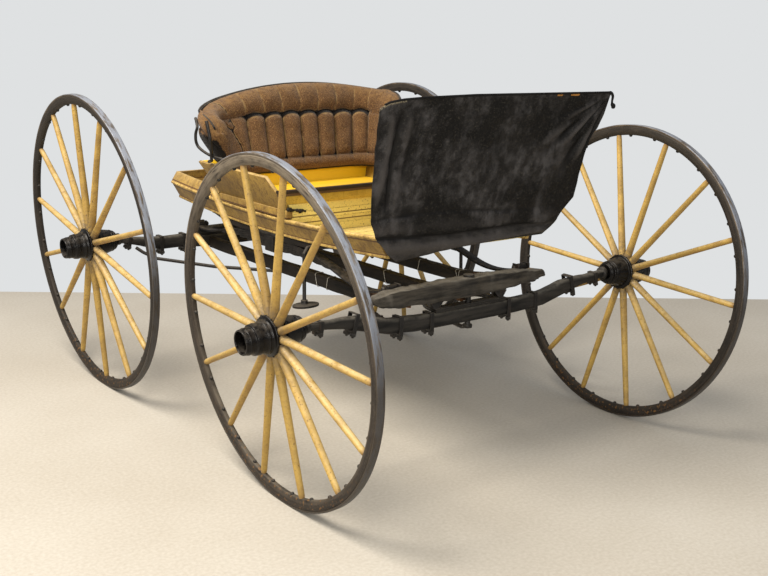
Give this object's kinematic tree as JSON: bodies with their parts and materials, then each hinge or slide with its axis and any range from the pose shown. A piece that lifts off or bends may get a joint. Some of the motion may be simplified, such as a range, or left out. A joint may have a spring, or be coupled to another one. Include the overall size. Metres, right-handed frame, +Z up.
{
  "type": "side-spring road wagon",
  "caption": "Light horse drawn road wagon with tall spoked wheels, steering front axle, side springs, shallow swept body, tufted seat back and leather dash.",
  "frame": {"origin": "on the ground, midway between the foremost and rearmost points of the tyres", "axes": "+Z up, the wagon faces -Y, its left side is +X"},
  "size_m": [1.7086, 2.4684, 1.193],
  "materials": {
    "tyre_steel": "worn bare steel with light rust",
    "felloe_black": "worn black paint over ash",
    "spoke_yellow": "faded yellow paint over hickory, worn at the ends",
    "hub_black": "black paint over elm, with iron bands",
    "leather_black": "old black leather, creased and scuffed",
    "cloth_brown": "brown woollen cloth, tufted",
    "seat_shell_leather": "black leather cloth",
    "weathered_wood": "bare weathered ash, traces of black paint",
    "brown_wood": "dark brown stained wood",
    "black_wood": "black paint over ash",
    "body_yellow": "yellow paint over poplar boards, worn and stained",
    "black_iron": "black painted wrought iron, rusty at the edges"
  },
  "bodies": {
    "root": {"axle_stays": "black_iron", "body_floor": "body_yellow", "body_front_panel": "body_yellow", "body_rear_panel": "body_yellow", "body_side_left": "body_yellow", "body_side_right": "body_yellow", "boot_coaming": "body_yellow", "dash_feet": "black_iron", "dash_frame": "black_iron", "dash_leather": "leather_black", "fifth_wheel_upper": "black_iron", "front_spring_bar": "weathered_wood", "king_bolt": "black_iron", "king_bolt_stay": "black_iron", "perch_left": "black_wood", "perch_middle": "black_wood", "perch_right": "black_wood", "rear_axle": "black_iron", "rear_axle_bed": "black_wood", "rear_axle_clips": "black_iron", "rear_spring_bar": "black_wood", "seat_back_cushion": "cloth_brown", "seat_back_rail": "black_iron", "seat_back_shell": "seat_shell_leather", "seat_board": "body_yellow", "seat_rail": "brown_wood", "seat_rear_board": "body_yellow", "seat_riser": "body_yellow", "seat_side_left": "body_yellow", "seat_side_right": "body_yellow", "seat_sills": "body_yellow", "side_spring_left": "black_iron", "side_spring_right": "black_iron", "spring_blocks": "black_wood", "spring_brackets": "black_iron", "steps": "black_iron"},
    "front_gear": {"fifth_wheel_lower": "black_iron", "front_axle": "black_iron", "front_axle_bed": "black_wood", "front_axle_clips": "black_iron"},
    "wheel_front_left": {"wheel_front_left_felloe": "felloe_black", "wheel_front_left_hub": "hub_black", "wheel_front_left_spokes": "spoke_yellow", "wheel_front_left_tyre": "tyre_steel"},
    "wheel_front_right": {"wheel_front_right_felloe": "felloe_black", "wheel_front_right_hub": "hub_black", "wheel_front_right_spokes": "spoke_yellow", "wheel_front_right_tyre": "tyre_steel"},
    "wheel_rear_left": {"wheel_rear_left_felloe": "felloe_black", "wheel_rear_left_hub": "hub_black", "wheel_rear_left_spokes": "spoke_yellow", "wheel_rear_left_tyre": "tyre_steel"},
    "wheel_rear_right": {"wheel_rear_right_felloe": "felloe_black", "wheel_rear_right_hub": "hub_black", "wheel_rear_right_spokes": "spoke_yellow", "wheel_rear_right_tyre": "tyre_steel"}
  },
  "joints": [
    {"name": "steer", "type": "hinge", "parent": "root", "child": "front_gear", "pos_m": [0, -0.7008, 0.515], "axis": [0, 0, 1], "range_deg": [-25, 25]},
    {"name": "wheel_front_left_spin", "type": "hinge", "parent": "front_gear", "child": "wheel_front_left", "pos_m": [0.74291, -0.7008, 0.53299], "axis": [0.9976, 0, -0.0698], "continuous": true},
    {"name": "wheel_front_right_spin", "type": "hinge", "parent": "front_gear", "child": "wheel_front_right", "pos_m": [-0.74291, -0.7008, 0.53299], "axis": [-0.9976, 0, -0.0698], "continuous": true},
    {"name": "wheel_rear_left_spin", "type": "hinge", "parent": "root", "child": "wheel_rear_left", "pos_m": [0.73956, 0.6632, 0.57075], "axis": [0.9982, 0, -0.0593], "continuous": true},
    {"name": "wheel_rear_right_spin", "type": "hinge", "parent": "root", "child": "wheel_rear_right", "pos_m": [-0.73956, 0.6632, 0.57075], "axis": [-0.9982, 0, -0.0593], "continuous": true}
  ]
}
